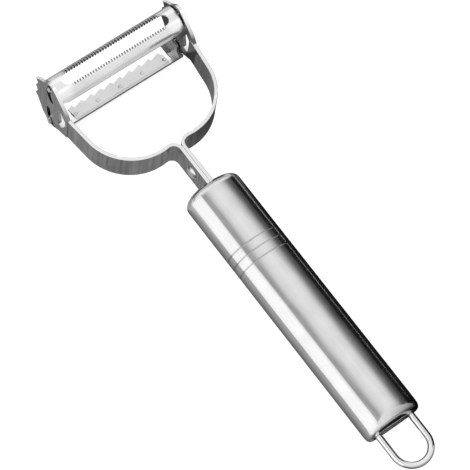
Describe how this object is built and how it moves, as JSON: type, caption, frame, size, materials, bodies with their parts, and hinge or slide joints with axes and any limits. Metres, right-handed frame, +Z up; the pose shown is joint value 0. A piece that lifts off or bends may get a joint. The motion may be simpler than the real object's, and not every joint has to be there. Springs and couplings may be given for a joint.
{
  "type": "vegetable peeler",
  "caption": "Y-shaped steel vegetable peeler with an oval tube handle, a wire hanging loop, a serrated swivel blade and a julienne blade",
  "frame": {"origin": "Middle of the peeler's plan, at its lowest point, where the ears of the yoke stand on a table", "axes": "+Y along the handle from the hanging loop to the blades, +X along the blades, +Z up from the table, with the peeler blade on top"},
  "size_m": [0.0548, 0.1788, 0.0266],
  "materials": {
    "brushed_handle": "brushed along the handle",
    "plain_steel": "plain pressed sheet",
    "bright_wire": "polished drawn wire",
    "strip_steel": "rolled strip with fine cross marks",
    "rivet_steel": "domed and polished",
    "blade_steel": "satin ground",
    "tray_steel": "satin ground",
    "tooth_steel": "satin ground"
  },
  "bodies": {
    "frame": {"handle_shell": "brushed_handle", "rear_cap": "plain_steel", "hanging_loop": "bright_wire", "left_arm": "strip_steel", "right_arm": "strip_steel", "neck_rivet": "rivet_steel"},
    "peeler": {"peeler_blade": "blade_steel"},
    "julienne": {"julienne_blade": "tray_steel", "julienne_teeth": "tooth_steel"}
  },
  "joints": [
    {"name": "peeler_blade_swivel", "type": "hinge", "parent": "frame", "child": "peeler", "pos_m": [0, 0.08201, 0.02257], "axis": [1, 0, 0], "range_deg": [-12, 12]},
    {"name": "julienne_blade_swivel", "type": "hinge", "parent": "frame", "child": "julienne", "pos_m": [0, 0.08052, 0.00315], "axis": [1, 0, 0], "range_deg": [-10, 10]}
  ]
}
